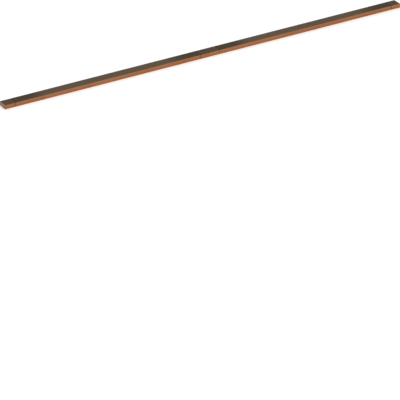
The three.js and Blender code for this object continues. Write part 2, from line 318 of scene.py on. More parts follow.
def copper_anodising():
    finish, nodes, links, shader = new_finish("copper_anodising")
    drift = rescale(nodes, links, grain(nodes, links, (18, 60, 60), 2), *CLOUD_RANGE)
    dyed = blend_colour(nodes, links, drift, COPPER, COPPER_PALE)
    at_rim = rescale(nodes, links, height_above_floor(nodes, links), RIM_START, RIM_TOP)
    patches = grain(nodes, links, (70, 300, 300), 4)
    worn = nodes.new("ShaderNodeMath")
    worn.operation = "MULTIPLY"
    links.new(at_rim, worn.inputs[0])
    links.new(rescale(nodes, links, patches, *WORN_RANGE, 0.0, MOST_WORN), worn.inputs[1])
    colour = blend_colour(nodes, links, worn.outputs[0], dyed, COPPER_RUBBED)
    links.new(colour, shader.inputs["Base Color"])
    die_lines = grain(nodes, links, (6, 2400, 2400), 4)
    roughness = rescale(nodes, links, die_lines, *NOISE_RANGE, *COPPER_ROUGHNESS)
    links.new(roughness, shader.inputs["Roughness"])
    emboss(nodes, links, shader, die_lines, FINE_BUMP, 0.6)
    shader.inputs["Metallic"].default_value = 1.0
    return finish


# %% [markdown]
# ### Drawn and brushed metals
#
# One recipe serves every metal with visible lines. The seal bars are aluminium as it comes from the
# mill, with long drawing lines and a soft, greyish sheen. The springs are rolled strip, with finer
# and sharper lines. The end plates are bronze anodised, browner than the channels, and brushed from
# face to face. The joint screws and the rivets are bright steel with a faint grain that runs no
# special way.

# %% Drawn and brushed metals
def drawn_metal(name, dark, light, stretch, smooth, rough):
    """A metal whose lines run the way that the stretch leaves long."""
    finish, nodes, links, shader = new_finish(name)
    lines = grain(nodes, links, stretch, 5)
    shade = rescale(nodes, links, lines, *NOISE_RANGE)
    links.new(blend_colour(nodes, links, shade, dark, light), shader.inputs["Base Color"])
    links.new(rescale(nodes, links, lines, *NOISE_RANGE, smooth, rough), shader.inputs["Roughness"])
    emboss(nodes, links, shader, lines, FINE_BUMP, 0.5)
    shader.inputs["Metallic"].default_value = 1.0
    return finish


# %% [markdown]
# ### Bronze-coated screws
#
# The screws of the end plates are coated to match them, so that an end looks like one quiet
# surface. The coating is blotchy and a little paler where it is thin.

# %% Bronze coating
BRONZED_STEEL = (0.16, 0.11, 0.07)
BRONZED_STEEL_WORN = (0.24, 0.175, 0.12)
THIN_COAT_RANGE, COAT_ROUGHNESS = (0.45, 0.7), (0.5, 0.36)


def bronzed_screw_finish():
    finish, nodes, links, shader = new_finish("bronze_coating")
    coat = grain(nodes, links, (1400, 1400, 1400), 4)
    thin = rescale(nodes, links, coat, *THIN_COAT_RANGE)
    coating = blend_colour(nodes, links, thin, BRONZED_STEEL, BRONZED_STEEL_WORN)
    links.new(coating, shader.inputs["Base Color"])
    roughness = rescale(nodes, links, coat, *NOISE_RANGE, *COAT_ROUGHNESS)
    links.new(roughness, shader.inputs["Roughness"])
    emboss(nodes, links, shader, coat, FINE_BUMP / 2, 0.4)
    shader.inputs["Metallic"].default_value = 1.0
    return finish


# %% [markdown]
# ### Rubber
#
# The seal is extruded rubber: matt, brown-grey, with faint lines and pale chalky streaks along its
# length. Towards the ends of each section, near the blocks, its colour is darkened as painted shade.
# The pads are moulded from a slightly warmer mix, and their mould leaves a fine pebble.

# %% Rubber
# Painted shade: the seal's colour near the ends of each section, darkened where it meets the blocks.
SEAL_SHADED_ENDS = (0.052, 0.031, 0.013)
SEAL_MIDDLE = (0.095, 0.062, 0.034)
PAD_BROWN = (0.062, 0.038, 0.017)
PAD_BROWN_PALE = (0.072, 0.045, 0.022)
SECTION_MIDDLE = abs(sum(corner.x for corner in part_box("left_seal")) / 2)
# The painted shade starts this far from the middle of a section and is full at the second distance.
PAINTED_SHADE_START, PAINTED_SHADE_FULL = 140 * MM, 190 * MM
CHALK_RANGE, MOST_CHALK = (0.45, 0.8), 0.35
SEAL_ROUGHNESS, PAD_ROUGHNESS = (0.62, 0.8), (0.68, 0.82)
STREAK_BUMP, PEBBLE_BUMP = 0.03 * MM, 0.05 * MM
RUBBER_SHEEN = 0.25


def distance_from_section_middle(nodes, links):
    """How far a point is from the middle of its own section. One formula serves both sides."""
    place = nodes.new("ShaderNodeTexCoord")
    split = nodes.new("ShaderNodeSeparateXYZ")
    links.new(place.outputs["Object"], split.inputs["Vector"])
    value = split.outputs["X"]
    for operation in ("ABSOLUTE", "SUBTRACT", "ABSOLUTE"):
        step = nodes.new("ShaderNodeMath")
        step.operation = operation
        step.inputs[1].default_value = SECTION_MIDDLE
        links.new(value, step.inputs[0])
        value = step.outputs[0]
    return value


def extruded_rubber():
    finish, nodes, links, shader = new_finish("extruded_rubber")
    away = distance_from_section_middle(nodes, links)
    # Painted shade: the seal darkens towards the ends of each section, near the blocks.
    painted_shade = rescale(nodes, links, away, PAINTED_SHADE_START, PAINTED_SHADE_FULL)
    shaded_towards_ends = blend_colour(nodes, links, painted_shade, SEAL_MIDDLE, SEAL_SHADED_ENDS)
    streaks = grain(nodes, links, (10, 900, 900), 4)
    chalky = rescale(nodes, links, streaks, *CHALK_RANGE, 0.0, MOST_CHALK)
    links.new(blend_colour(nodes, links, chalky, shaded_towards_ends, SEAL_MIDDLE), shader.inputs["Base Color"])
    roughness = rescale(nodes, links, streaks, *NOISE_RANGE, *SEAL_ROUGHNESS)
    links.new(roughness, shader.inputs["Roughness"])
    emboss(nodes, links, shader, streaks, STREAK_BUMP, 0.6)
    shader.inputs["Specular IOR Level"].default_value = RUBBER_SHEEN
    return finish


def moulded_rubber():
    finish, nodes, links, shader = new_finish("moulded_rubber")
    cloud = rescale(nodes, links, grain(nodes, links, (90, 90, 90), 3), *CLOUD_RANGE)
    links.new(blend_colour(nodes, links, cloud, PAD_BROWN, PAD_BROWN_PALE), shader.inputs["Base Color"])
    pebbles = grain(nodes, links, (2200, 2200, 2200), 2)
    roughness = rescale(nodes, links, pebbles, *NOISE_RANGE, *PAD_ROUGHNESS)
    links.new(roughness, shader.inputs["Roughness"])
    emboss(nodes, links, shader, pebbles, PEBBLE_BUMP, 0.8)
    shader.inputs["Specular IOR Level"].default_value = RUBBER_SHEEN
    return finish


# %% [markdown]
# ### One finish for each slot
#
# The CAD record names a slot for every piece. Each slot gets one finish here, and the pieces pick
# theirs up by that name when they are handed over. The four drawn metals differ only in their two
# colours, in the way their lines run and in how smooth they are.

# %% Make the finishes
ALONG_BAR, ALONG_STRIP = (8, 1600, 1600), (12, 3000, 3000)
ACROSS_PLATE, ALL_WAYS = (900, 25, 2600), (1500, 1500, 1500)
BRONZE, BRONZE_PALE = (0.262, 0.158, 0.079), (0.316, 0.195, 0.106)
MILL_DARK, MILL_LIGHT = (0.4, 0.39, 0.37), (0.5, 0.49, 0.47)
STRIP_DARK, STRIP_LIGHT = (0.16, 0.16, 0.17), (0.23, 0.23, 0.24)
STEEL_DARK, STEEL_LIGHT = (0.29, 0.28, 0.27), (0.37, 0.36, 0.35)
FINISHES = {
    "copper_anodised": copper_anodising(),
    "bronze_plate": drawn_metal("brushed_bronze", BRONZE, BRONZE_PALE, ACROSS_PLATE, 0.4, 0.56),
    "bronzed_screw": bronzed_screw_finish(),
    "mill_aluminium": drawn_metal("mill_face", MILL_DARK, MILL_LIGHT, ALONG_BAR, 0.35, 0.5),
    "spring_steel": drawn_metal("rolled_strip", STRIP_DARK, STRIP_LIGHT, ALONG_STRIP, 0.24, 0.36),
    "screw_steel": drawn_metal("bright_steel", STEEL_DARK, STEEL_LIGHT, ALL_WAYS, 0.26, 0.4),
    "seal_rubber": extruded_rubber(),
    "pad_rubber": moulded_rubber(),
}
print(len(FINISHES), "finishes for the slots", ", ".join(FINISHES))

# %% [markdown]
# ## Long sections
#
# An extrusion is metal or rubber pushed through a die, so the model is made the same way. A flat
# plate is cut along a few lines, the cells that hold no material are deleted, and what is left is
# the section. Extruding it along X gives the bar, and a bevel on chosen long edges rounds them.
# An extruded plate keeps its first face, so the bar is closed at both ends. Its normals are then
# recalculated, because the first face still looks the wrong way.

# %% Section helpers
FLAT_ANGLE = math.radians(1)
MERGE_DISTANCE = 0.001 * MM
BURR, SLACK = 0.1, 0.01
FACING, LEVEL = 0.9, 0.99


def cut_section(name, low, high, y_lines, z_lines, is_solid):
    """The section at the low end, as a plate across the bar. Lines and the test are in millimetres."""
    middle = (low + high) / 2
    bpy.ops.object.select_all(action="DESELECT")
    bpy.ops.mesh.primitive_plane_add(
        size=1, location=(low.x, middle.y, middle.z), rotation=(0, -math.pi / 2, 0)
    )
    plate = bpy.context.object
    plate.name = name
    plate.scale = (high.z - low.z, high.y - low.y, 1)
    bpy.ops.object.transform_apply(location=True, rotation=True, scale=True)
    with editing(plate):
        lines = [((0, y * MM, 0), (0, 1, 0)) for y in y_lines]
        lines += [((0, 0, z * MM), (0, 0, 1)) for z in z_lines]
        for point, across in lines:
            bpy.ops.mesh.select_all(action="SELECT")
            bpy.ops.mesh.bisect(plane_co=point, plane_no=across)
        pick_faces(plate, lambda centre, _: not is_solid(abs(centre.y) / MM, centre.z / MM))
        bpy.ops.mesh.delete(type="FACE")
    return plate


def mirrored(values):
    return [side * value for value in values for side in (-1, 1)]


def push_along(section, length):
    with editing(section):
        bpy.ops.mesh.extrude_region_move(TRANSFORM_OT_translate={"value": (length, 0, 0)})
        bpy.ops.mesh.select_all(action="SELECT")
        bpy.ops.mesh.normals_make_consistent(inside=False)


def push_cells(piece, distance, wanted):
    """Extrude the picked cells of an end face along X."""
    with editing(piece):
        pick_faces(piece, wanted)
        bpy.ops.mesh.extrude_region_move(TRANSFORM_OT_translate={"value": (distance, 0, 0)})


def clear_flat_edges(piece):
    """Merge doubles and dissolve the cutting lines that are left on flat faces."""
    with editing(piece):
        bpy.ops.mesh.remove_doubles(threshold=MERGE_DISTANCE)
        bpy.ops.mesh.dissolve_limited(angle_limit=FLAT_ANGLE)
        bpy.ops.mesh.select_all(action="SELECT")
        bpy.ops.mesh.normals_make_consistent(inside=False)


def round_edges(piece, radius, segments, wanted):
    with editing(piece):
        count = pick_edges(piece, wanted)
        if count == 0:
            raise ValueError(f"no edge to round on {piece.name}")
        bpy.ops.mesh.bevel(offset=radius * MM, segments=segments, affect="EDGES")
    return count


def long_edge(corners):
    """A test for edges along X at any of the (distance from the middle, height) corners, in millimetres."""

    def wanted(a, b):
        if not (near(a.y, b.y) and near(a.z, b.z)) or near(a.x, b.x):
            return False
        return any(near(abs(a.y), y * MM) and near(a.z, z * MM) for y, z in corners)

    return wanted


def break_ends(piece, stations, width=BURR, outline=lambda point: True):
    """Take the burr off the sawn ends: a small flat on the edges that lie in each end face."""
    round_edges(
        piece,
        width,
        1,
        lambda a, b: any(near(a.x, x) and near(b.x, x) for x in stations) and outline(a) and outline(b),
    )


# %% [markdown]
# ## Turned pieces and tools
#
# Screws, rivets, pegs and drills are all round. Each is drawn as half a profile: one vertex, which
# is extruded from point to point, as with E and the mouse. Spin then turns the profile through a
# full circle. The first and last rows meet, and the points on the axis become poles, so doubles
# are merged before the normals are recalculated. A drill starts a millimetre outside the face that
# it cuts.

# %% Turning helper
FULL_TURN = 2 * math.pi
TURN_STEPS = 32
OVERSHOOT = 1


def draw_profile(name, points):
    """A chain of edges through [radius, height] points: one vertex, extruded from point to point."""
    bpy.ops.object.select_all(action="DESELECT")
    bpy.ops.mesh.primitive_plane_add(size=MM, location=(0, 0, 0))
    profile = bpy.context.object
    profile.name = name
    with editing(profile):
        bpy.ops.mesh.select_mode(type="VERT")
        bpy.ops.mesh.merge(type="CENTER")
        radius, height = points[0]
        bpy.ops.transform.translate(value=(radius * MM, 0, height * MM))
        for (r0, z0), (r1, z1) in zip(points, points[1:]):
            step = ((r1 - r0) * MM, 0, (z1 - z0) * MM)
            bpy.ops.mesh.extrude_vertices_move(TRANSFORM_OT_translate={"value": step})
    return profile


def turn(name, points, steps=TURN_STEPS):
    """A turned piece about Z from [radius, height] points in millimetres."""
    piece = draw_profile(name, points)
    with editing(piece):
        bpy.ops.mesh.spin(steps=steps, angle=FULL_TURN, center=(0, 0, 0), axis=(0, 0, 1))
        bpy.ops.mesh.select_all(action="SELECT")
        bpy.ops.mesh.remove_doubles(threshold=MERGE_DISTANCE)
        bpy.ops.mesh.normals_make_consistent(inside=False)
    return piece


def rod(name, radius, bottom, top):
    return turn(name, [(0, bottom), (radius, bottom), (radius, top), (0, top)])


def place_at(piece, x, y=0.0, z=0.0, lay_along_x=False):
    """Move a piece, in metres, and write the place into its mesh."""
    select_only(piece)
    if lay_along_x:
        piece.rotation_euler = (0, math.pi / 2, 0)
    piece.location = (x, y, z)
    bpy.ops.object.transform_apply(location=True, rotation=True, scale=True)
    return piece


# %% [markdown]
# ### Cutting and joining
#
# A drill, a milling cutter or a glued peg is a piece of its own until it is used. The exact solver
# keeps thin walls closed, and the tool is thrown away once it has left its shape.

# %% Boolean helper
def shape_with(piece, tools, operation="DIFFERENCE"):
    """Cut tools out of a piece, or join them to it, and throw the tools away."""
    for tool in tools:
        change = piece.modifiers.new("shape", "BOOLEAN")
        change.solver = "EXACT"
        change.operation = operation
        change.object = tool
        select_only(piece)
        bpy.ops.object.modifier_apply(modifier=change.name)
        bpy.data.objects.remove(tool)
    return piece


# %% [markdown]
# ## Copper channels
#
# Each channel is a flat-bottomed U, 24 mm wide, with walls that stop just under the tips of the
# seal. Its outer corners are eased, the rims are rounded so that they don't cut the rubber, and
# the corners inside have a small fillet from the die. Two countersunk holes in the web take the
# screws that come up from below into the feet of the neighbouring blocks.

# %% Channels
SIDE, INNER_SIDE = 12.0, 10.8
WEB_TOP, RIM = 1.6, 9.2
OUTER_EASE, RIM_EASE, FILLET = 0.5, 0.35, 0.3
SECTION_LOW, SECTION_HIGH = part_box("left_channel")
SECTION_LENGTH = SECTION_HIGH.x - SECTION_LOW.x
FOOT_LENGTH = 12.0
JOINT_XS = {"outer": SECTION_LOW.x + FOOT_LENGTH / 2 * MM, "inner": SECTION_HIGH.x - FOOT_LENGTH / 2 * MM}
HEAD_SINK, CLEARANCE = 0.1, 0.3
HEAD_RADIUS, HEAD_EDGE, HEAD_HEIGHT, SHANK_RADIUS = 2.3, 0.15, 1.2, 1.1
JOINT_SCREW_LENGTH, PLATE_SCREW_LENGTH = 3.1, 8.0


def countersink(length):
    """The drill for a countersunk screw: a straight hole with a cone at its mouth."""
    wide = HEAD_RADIUS + CLEARANCE
    narrow = SHANK_RADIUS + CLEARANCE
    end = length + CLEARANCE
    cone = [(wide, HEAD_EDGE), (narrow, HEAD_HEIGHT + HEAD_SINK)]
    return turn("drill", [(0, -OVERSHOOT), (wide, -OVERSHOOT), *cone, (narrow, end), (0, end)])


def make_channel():
    channel = cut_section(
        "left_copper_channel",
        SECTION_LOW,
        SECTION_HIGH,
        mirrored([INNER_SIDE]),
        [WEB_TOP],
        lambda y, z: z < WEB_TOP or y > INNER_SIDE,
    )
    push_along(channel, SECTION_LENGTH)
    clear_flat_edges(channel)
    round_edges(channel, OUTER_EASE, 5, long_edge([(SIDE, 0)]))
    round_edges(channel, RIM_EASE, 4, long_edge([(SIDE, RIM), (INNER_SIDE, RIM)]))
    round_edges(channel, FILLET, 4, long_edge([(INNER_SIDE, WEB_TOP)]))
    break_ends(channel, (SECTION_LOW.x, SECTION_HIGH.x))
    drills = [place_at(countersink(JOINT_SCREW_LENGTH), x, z=HEAD_SINK * MM) for x in JOINT_XS.values()]
    return shape_with(channel, drills)


channel = make_channel()
print("channel", round(SECTION_LENGTH / MM, 1), "mm long,", len(channel.data.polygons), "faces")

# %% [markdown]
# ## Grooved seal bar
#
# The bar that carries the seal is an aluminium flat with a T-shaped groove. At each end it is
# milled down to a tongue, which reaches into a pocket of the block beside it. The tongues keep the
# bar in the channel and let it rise and sink. The groove is cut in the section, the tongues are
# cells of the end face that are pulled out further, and two holes take the rivets.

# %% Seal bar
BAR_LOW, BAR_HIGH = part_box("left_seal_bar")
BAR_SIDE, GROOVE_SIDE, SLOT_SIDE, TONGUE_SIDE = 10.4, 6.2, 3.3, 5.0
BAR_BOTTOM, GROOVE_FLOOR, LIP_UNDERSIDE, BAR_TOP = 5.4, 6.5, 7.8, 8.6
SPRING_MIDDLES = {
    place: sum(corner.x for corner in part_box(f"left_spring_{place}")) / 2 for place in ("outer", "inner")
}


def make_seal_bar():
    low = Vector((SECTION_LOW.x, BAR_LOW.y, BAR_LOW.z))
    high = Vector((SECTION_HIGH.x, BAR_HIGH.y, BAR_HIGH.z))
    bar = cut_section(
        "left_grooved_bar",
        low,
        high,
        mirrored([TONGUE_SIDE, GROOVE_SIDE, SLOT_SIDE]),
        [GROOVE_FLOOR, LIP_UNDERSIDE],
        lambda y, z: z < GROOVE_FLOOR or y > (GROOVE_SIDE if z < LIP_UNDERSIDE else SLOT_SIDE),
    )
    push_along(bar, SECTION_LENGTH)
    for end_x, tongue_end in ((low.x, BAR_LOW.x), (high.x, BAR_HIGH.x)):
        push_cells(
            bar,
            tongue_end - end_x,
            lambda centre, normal: abs(normal.x) > FACING
            and near(centre.x, end_x)
            and abs(centre.y) < TONGUE_SIDE * MM
            and centre.z < GROOVE_FLOOR * MM,
        )
    clear_flat_edges(bar)
    round_edges(bar, FILLET, 3, long_edge([(BAR_SIDE, BAR_BOTTOM), (BAR_SIDE, BAR_TOP)]))
    round_edges(bar, BURR, 1, long_edge([(SLOT_SIDE, BAR_TOP), (SLOT_SIDE, LIP_UNDERSIDE)]))
    break_ends(bar, (BAR_LOW.x, BAR_HIGH.x))
    holes = [
        place_at(rod("drill", SHANK_RADIUS + CLEARANCE, BAR_BOTTOM - OVERSHOOT, GROOVE_FLOOR + CLEARANCE), x)
        for x in SPRING_MIDDLES.values()
    ]
    return shape_with(bar, holes)


seal_bar = make_seal_bar()
print("seal bar", len(seal_bar.data.polygons), "faces, springs at", SPRING_MIDDLES)

# %% [markdown]
# ## Ribbed seal
#
# The seal is one rubber extrusion: a T-shaped foot that slides into the groove of the bar, a flat
# strip above it, and seven ribs that touch the floor. Twelve more lines in the section give the
# ribs. A wide, many-stepped bevel then rounds the shoulders of each square rib.

# %% Seal
SEAL_LOW, SEAL_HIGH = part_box("left_seal")
SEAL_SIDE, SEAL_FOOT_SIDE, SEAL_NECK_SIDE = 10.5, 5.9, 3.0
SEAL_FOOT_TOP, STRIP_UNDERSIDE, STRIP_TOP, RIB_TIP = 7.5, 8.9, 9.3, 10.0
RIB_COUNT, RIB_WIDTH, RIB_ROUNDING = 7, 2.2, 0.68
RUBBER_EASE = 0.12
RIB_PITCH = (2 * SEAL_SIDE - RIB_WIDTH) / (RIB_COUNT - 1)
RIB_STARTS = [-SEAL_SIDE + rib * RIB_PITCH for rib in range(RIB_COUNT)]


def seal_is_solid(y, z):
    """y is the distance from the middle. The ribs lie evenly about it."""
    if z < SEAL_FOOT_TOP:
        return y < SEAL_FOOT_SIDE
    if z < STRIP_UNDERSIDE:
        return y < SEAL_NECK_SIDE
    return z < STRIP_TOP or any(start < y < start + RIB_WIDTH for start in RIB_STARTS)


def make_seal():
    rib_lines = [start + width for start in RIB_STARTS for width in (0, RIB_WIDTH)]
    inner_lines = [y for y in rib_lines if abs(y) < SEAL_SIDE - SLACK]
    seal = cut_section(
        "left_ribbed_seal",
        SEAL_LOW,
        SEAL_HIGH,
        mirrored([SEAL_FOOT_SIDE, SEAL_NECK_SIDE]) + inner_lines,
        [SEAL_FOOT_TOP, STRIP_UNDERSIDE, STRIP_TOP],
        seal_is_solid,
    )
    push_along(seal, SECTION_LENGTH)
    clear_flat_edges(seal)
    tips = [(abs(y), RIB_TIP) for y in rib_lines]
    rounded = round_edges(seal, RIB_ROUNDING, 5, long_edge(tips))
    valleys = [(abs(y), STRIP_TOP) for y in inner_lines]
    round_edges(seal, RUBBER_EASE, 2, long_edge(valleys))
    foot_corners = [(SEAL_FOOT_SIDE, SEAL_LOW.z / MM), (SEAL_FOOT_SIDE, SEAL_FOOT_TOP)]
    round_edges(seal, RUBBER_EASE, 2, long_edge(foot_corners))
    print("seal has", rounded, "rib edges rounded")
    return seal


seal = make_seal()

# %% [markdown]
# ## End blocks and coupler
#
# These short blocks have the channel's own outline, so that the bar looks unbroken, but they are
# solid under a shallow tray for a rubber pad. At each open end a foot reaches into the channel,
# and a pocket takes the tongue of the seal bar. Foot and pocket are both cells of the end face:
# one is extruded out and the other in. The countersunk holes under the pads take the screws that
# fasten the sweep to the door.

# %% Block helper
TRAY_FLOOR = 8.3
FOOT_SIDE, FOOT_BOTTOM, FOOT_TOP = 10.2, 1.9, 3.4
POCKET_SIDE, POCKET_TOP, POCKET_DEPTH = 5.3, 6.8, 5.9
SEAM = 1.0
FOOT_REACH = SEAM + FOOT_LENGTH
FIXING_RADIUS, FIXING_HEAD_RADIUS = 2.25, 4.3
PEG_RADIUS, PEG_SIDE, PEG_HOLE_DEPTH = 1.2, 7.0, 2.7


def fixing_drill():
    cone_start = TRAY_FLOOR - (FIXING_HEAD_RADIUS - FIXING_RADIUS)
    return turn(
        "drill",
        [
            (0, -OVERSHOOT),
            (FIXING_RADIUS, -OVERSHOOT),
            (FIXING_RADIUS, cone_start),
            (FIXING_HEAD_RADIUS, TRAY_FLOOR),
            (FIXING_HEAD_RADIUS, RIB_TIP),
            (0, RIB_TIP),
        ],
    )


def block_drills(open_faces, fixing_xs, peg_xs):
    """open_faces are (x in metres, way out) pairs, and the other stations are in metres too."""
    foot_hole = (SHANK_RADIUS + CLEARANCE, FOOT_BOTTOM - OVERSHOOT, FOOT_TOP + OVERSHOOT)
    peg_hole = (PEG_RADIUS + CLEARANCE, TRAY_FLOOR - PEG_HOLE_DEPTH, RIB_TIP)
    foot_middle = (SEAM + FOOT_LENGTH / 2) * MM
    drills = [place_at(rod("drill", *foot_hole), x + way * foot_middle) for x, way in open_faces]
    drills += [place_at(fixing_drill(), x) for x in fixing_xs]
    drills += [place_at(rod("drill", *peg_hole), x, y * MM) for x in peg_xs for y in (-PEG_SIDE, PEG_SIDE)]
    return drills


def make_block(name, start_x, end_x, open_faces):
    low = Vector((start_x, SECTION_LOW.y, SECTION_LOW.z))
    high = Vector((end_x, SECTION_HIGH.y, SECTION_HIGH.z))
    block = cut_section(
        name,
        low,
        high,
        mirrored([INNER_SIDE, FOOT_SIDE, POCKET_SIDE]),
        [FOOT_BOTTOM, FOOT_TOP, POCKET_TOP, TRAY_FLOOR],
        lambda y, z: z < TRAY_FLOOR or y > INNER_SIDE,
    )
    push_along(block, end_x - start_x)
    for face_x, way in open_faces:

        def cell(centre, normal, side, bottom, top):
            on_face = near(centre.x, face_x) and abs(normal.x) > FACING
            return on_face and abs(centre.y) < side * MM and bottom * MM < centre.z < top * MM

        is_foot = lambda c, n: cell(c, n, FOOT_SIDE, FOOT_BOTTOM, FOOT_TOP)
        is_pocket = lambda c, n: cell(c, n, POCKET_SIDE, FOOT_TOP, POCKET_TOP)
        push_cells(block, way * FOOT_REACH * MM, is_foot)
        push_cells(block, -way * POCKET_DEPTH * MM, is_pocket)
    clear_flat_edges(block)
    round_edges(block, OUTER_EASE, 5, long_edge([(SIDE, 0)]))
    round_edges(block, RIM_EASE, 4, long_edge([(SIDE, RIM), (INNER_SIDE, RIM)]))
    on_outline = lambda point: abs(point.y) > (INNER_SIDE - SLACK) * MM or point.z < SLACK * MM
    break_ends(block, (start_x, end_x), outline=on_outline)
    return block


# %% [markdown]
# ### The left end block and the coupler
#
# The end block is open towards the channel only, and its other face takes the end plate. The
# coupler is open on both sides and stands in the middle of the sweep, so it is its own twin.

# %% Blocks
PAD_LOW, PAD_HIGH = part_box("left_end_pad")
CENTRE_LOW, CENTRE_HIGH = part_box("centre_pad")
END_X = CAD_BOX[0].x
FIXING_FROM_END, PEGS_FROM_END = 9.6 * MM, 14 * MM
FIXING_FROM_MIDDLE, PEGS_FROM_MIDDLE = 7 * MM, 14 * MM
PLATE_SCREW_SIDE = 6.5
PLATE_SCREW_Z = RIM / 2 * MM


def plate_screw_drills():
    drills = []
    for y in (-PLATE_SCREW_SIDE, PLATE_SCREW_SIDE):
        drill = countersink(PLATE_SCREW_LENGTH)
        drills.append(place_at(drill, END_X + HEAD_SINK * MM, y * MM, PLATE_SCREW_Z, lay_along_x=True))
    return drills


end_faces = [(PAD_HIGH.x, 1)]
end_block = make_block("left_copper_end_block", PAD_LOW.x, PAD_HIGH.x, end_faces)
end_drills = block_drills(end_faces, [END_X + FIXING_FROM_END], [END_X + PEGS_FROM_END])
shape_with(end_block, end_drills + plate_screw_drills())
coupler_faces = [(CENTRE_LOW.x, -1), (CENTRE_HIGH.x, 1)]
coupler = make_block("copper_centre_coupler", CENTRE_LOW.x, CENTRE_HIGH.x, coupler_faces)
fixings, pegs = mirrored([FIXING_FROM_MIDDLE]), mirrored([PEGS_FROM_MIDDLE])
shape_with(coupler, block_drills(coupler_faces, fixings, pegs))
print("end block", len(end_block.data.polygons), "faces, coupler", len(coupler.data.polygons), "faces")

# %% [markdown]
# ## Bronze end plates
#
# A plate closes each end. It has the outline of the bar, so it starts as a thin box. Its four
# corners are rounded to match, its outer edge is broken more than its inner one, and two screws
# sink into it.

# %% End plate
PLATE_LOW, PLATE_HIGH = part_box("left_end_plate")
PLATE_FRONT_EASE, PLATE_BACK_EASE = 0.2, 0.08


def block_between(name, low, high):
    """A box with its place and size in its mesh."""
    bpy.ops.object.select_all(action="DESELECT")
    bpy.ops.mesh.primitive_cube_add(size=1, location=(low + high) / 2)
    box = bpy.context.object
    box.name = name
    box.scale = high - low
    bpy.ops.object.transform_apply(location=True, rotation=True, scale=True)
    return box


def make_end_plate():
    plate = block_between("left_bronze_plate", PLATE_LOW, PLATE_HIGH)
    round_edges(plate, OUTER_EASE, 5, long_edge([(SIDE, 0), (SIDE, RIM)]))
    break_ends(plate, (PLATE_LOW.x,), width=PLATE_FRONT_EASE)
    break_ends(plate, (PLATE_HIGH.x,), width=PLATE_BACK_EASE)
    return shape_with(plate, plate_screw_drills())


end_plate = make_end_plate()
print("end plate", len(end_plate.data.polygons), "faces")

# %% [markdown]
# ## Rubber pads
#
# A moulded pad covers each block and hides its fixing screws. It is a box with a soft edge all
# round the top. Two long cuts in its top face leave a plain border, and the field between them is
# cut across into strips. Every other strip is pushed down a little, which leaves fine grip bars
# between shallow grooves. Pegs under the pad press into the block.

# %% Pads
PAD_THICKNESS, PAD_EASE, PAD_CORNER = 1.4, 0.45, 0.8
FIELD_BORDER, GROOVE_DEPTH = 1.3, 0.16
GRIP_PITCH = 1.6
PEG_TIP = TRAY_FLOOR - PEG_HOLE_DEPTH + CLEARANCE


def press_grip_grooves(pad, start_x, end_x):
    """Cut the flat top into a border and strips, and push every other strip down."""
    is_top = lambda centre, normal: normal.z > LEVEL and near(centre.z, RIB_TIP * MM)
    field_start, field_end = start_x + FIELD_BORDER * MM, end_x - FIELD_BORDER * MM
    field_side = PAD_HIGH.y - FIELD_BORDER * MM
    count = 2 * round((field_end - field_start) / (GRIP_PITCH * MM)) + 1
    strip = (field_end - field_start) / count
    in_field = lambda c, n: is_top(c, n) and field_start < c.x < field_end and abs(c.y) < field_side
    with editing(pad):
        for side in (-1, 1):
            pick_faces(pad, is_top)
            bpy.ops.mesh.bisect(plane_co=(0, side * field_side, 0), plane_no=(0, 1, 0))
        for line in range(count + 1):
            pick_faces(pad, in_field)
            bpy.ops.mesh.bisect(plane_co=(field_start + line * strip, 0, 0), plane_no=(1, 0, 0))
        pick_faces(pad, lambda c, n: in_field(c, n) and int((c.x - field_start) / strip) % 2 == 1)
        bpy.ops.mesh.extrude_region_move(TRANSFORM_OT_translate={"value": (0, 0, -GROOVE_DEPTH * MM)})
    return count // 2


def make_pad(name, start_x, end_x, peg_xs):
    bottom = RIB_TIP - PAD_THICKNESS
    low = Vector((start_x, PAD_LOW.y, bottom * MM))
    high = Vector((end_x, PAD_HIGH.y, RIB_TIP * MM))
    pad = block_between(name, low, high)
    upright = lambda a, b: near(a.x, b.x) and near(a.y, b.y)
    round_edges(pad, PAD_CORNER, 4, upright)
    round_edges(pad, PAD_EASE, 4, lambda a, b: near(a.z, high.z) and near(b.z, high.z))
    grooves = press_grip_grooves(pad, start_x, end_x)
    pegs = [
        place_at(rod("peg", PEG_RADIUS, PEG_TIP, RIB_TIP - PAD_THICKNESS / 2), x, y * MM)
        for x in peg_xs
        for y in (-PEG_SIDE, PEG_SIDE)
    ]
    shape_with(pad, pegs, "UNION")
    print(name, "has", grooves, "grip grooves and", len(pegs), "pegs")
    return pad


end_pad = make_pad("left_rubber_end_pad", PAD_LOW.x, PAD_HIGH.x, [END_X + PEGS_FROM_END])
centre_pad = make_pad("rubber_centre_pad", CENTRE_LOW.x, CENTRE_HIGH.x, mirrored([PEGS_FROM_MIDDLE]))

# %% [markdown]
# ## Screws
#
# Two kinds of countersunk screw hold the sweep together: short ones up through the web, and longer
# ones through the end plates. A screw is turned from its profile. Its thread is a small triangle
# that the Screw modifier winds round the core, joined to it, and its cross recess is cut by a
# cross of two bars that narrow with depth.

# %% Screws
CORE_RADIUS, THREAD_PITCH = 0.85, 0.45
RIDGE_SHARE, RIDGE_SINK, RUN_OUT = 0.36, 0.08, 0.05
RIDGE_HALF, RIDGE_ROOT = THREAD_PITCH * RIDGE_SHARE, CORE_RADIUS - RIDGE_SINK
HEAD_EASE, SCREW_POINT = 0.08, 0.3
THREAD_START = HEAD_HEIGHT + RUN_OUT
RECESS_ARM, RECESS_WIDTH, RECESS_DEPTH = 2.4, 0.55, 0.7
RECESS_TAPER = 0.55
THREAD_STEPS = 20


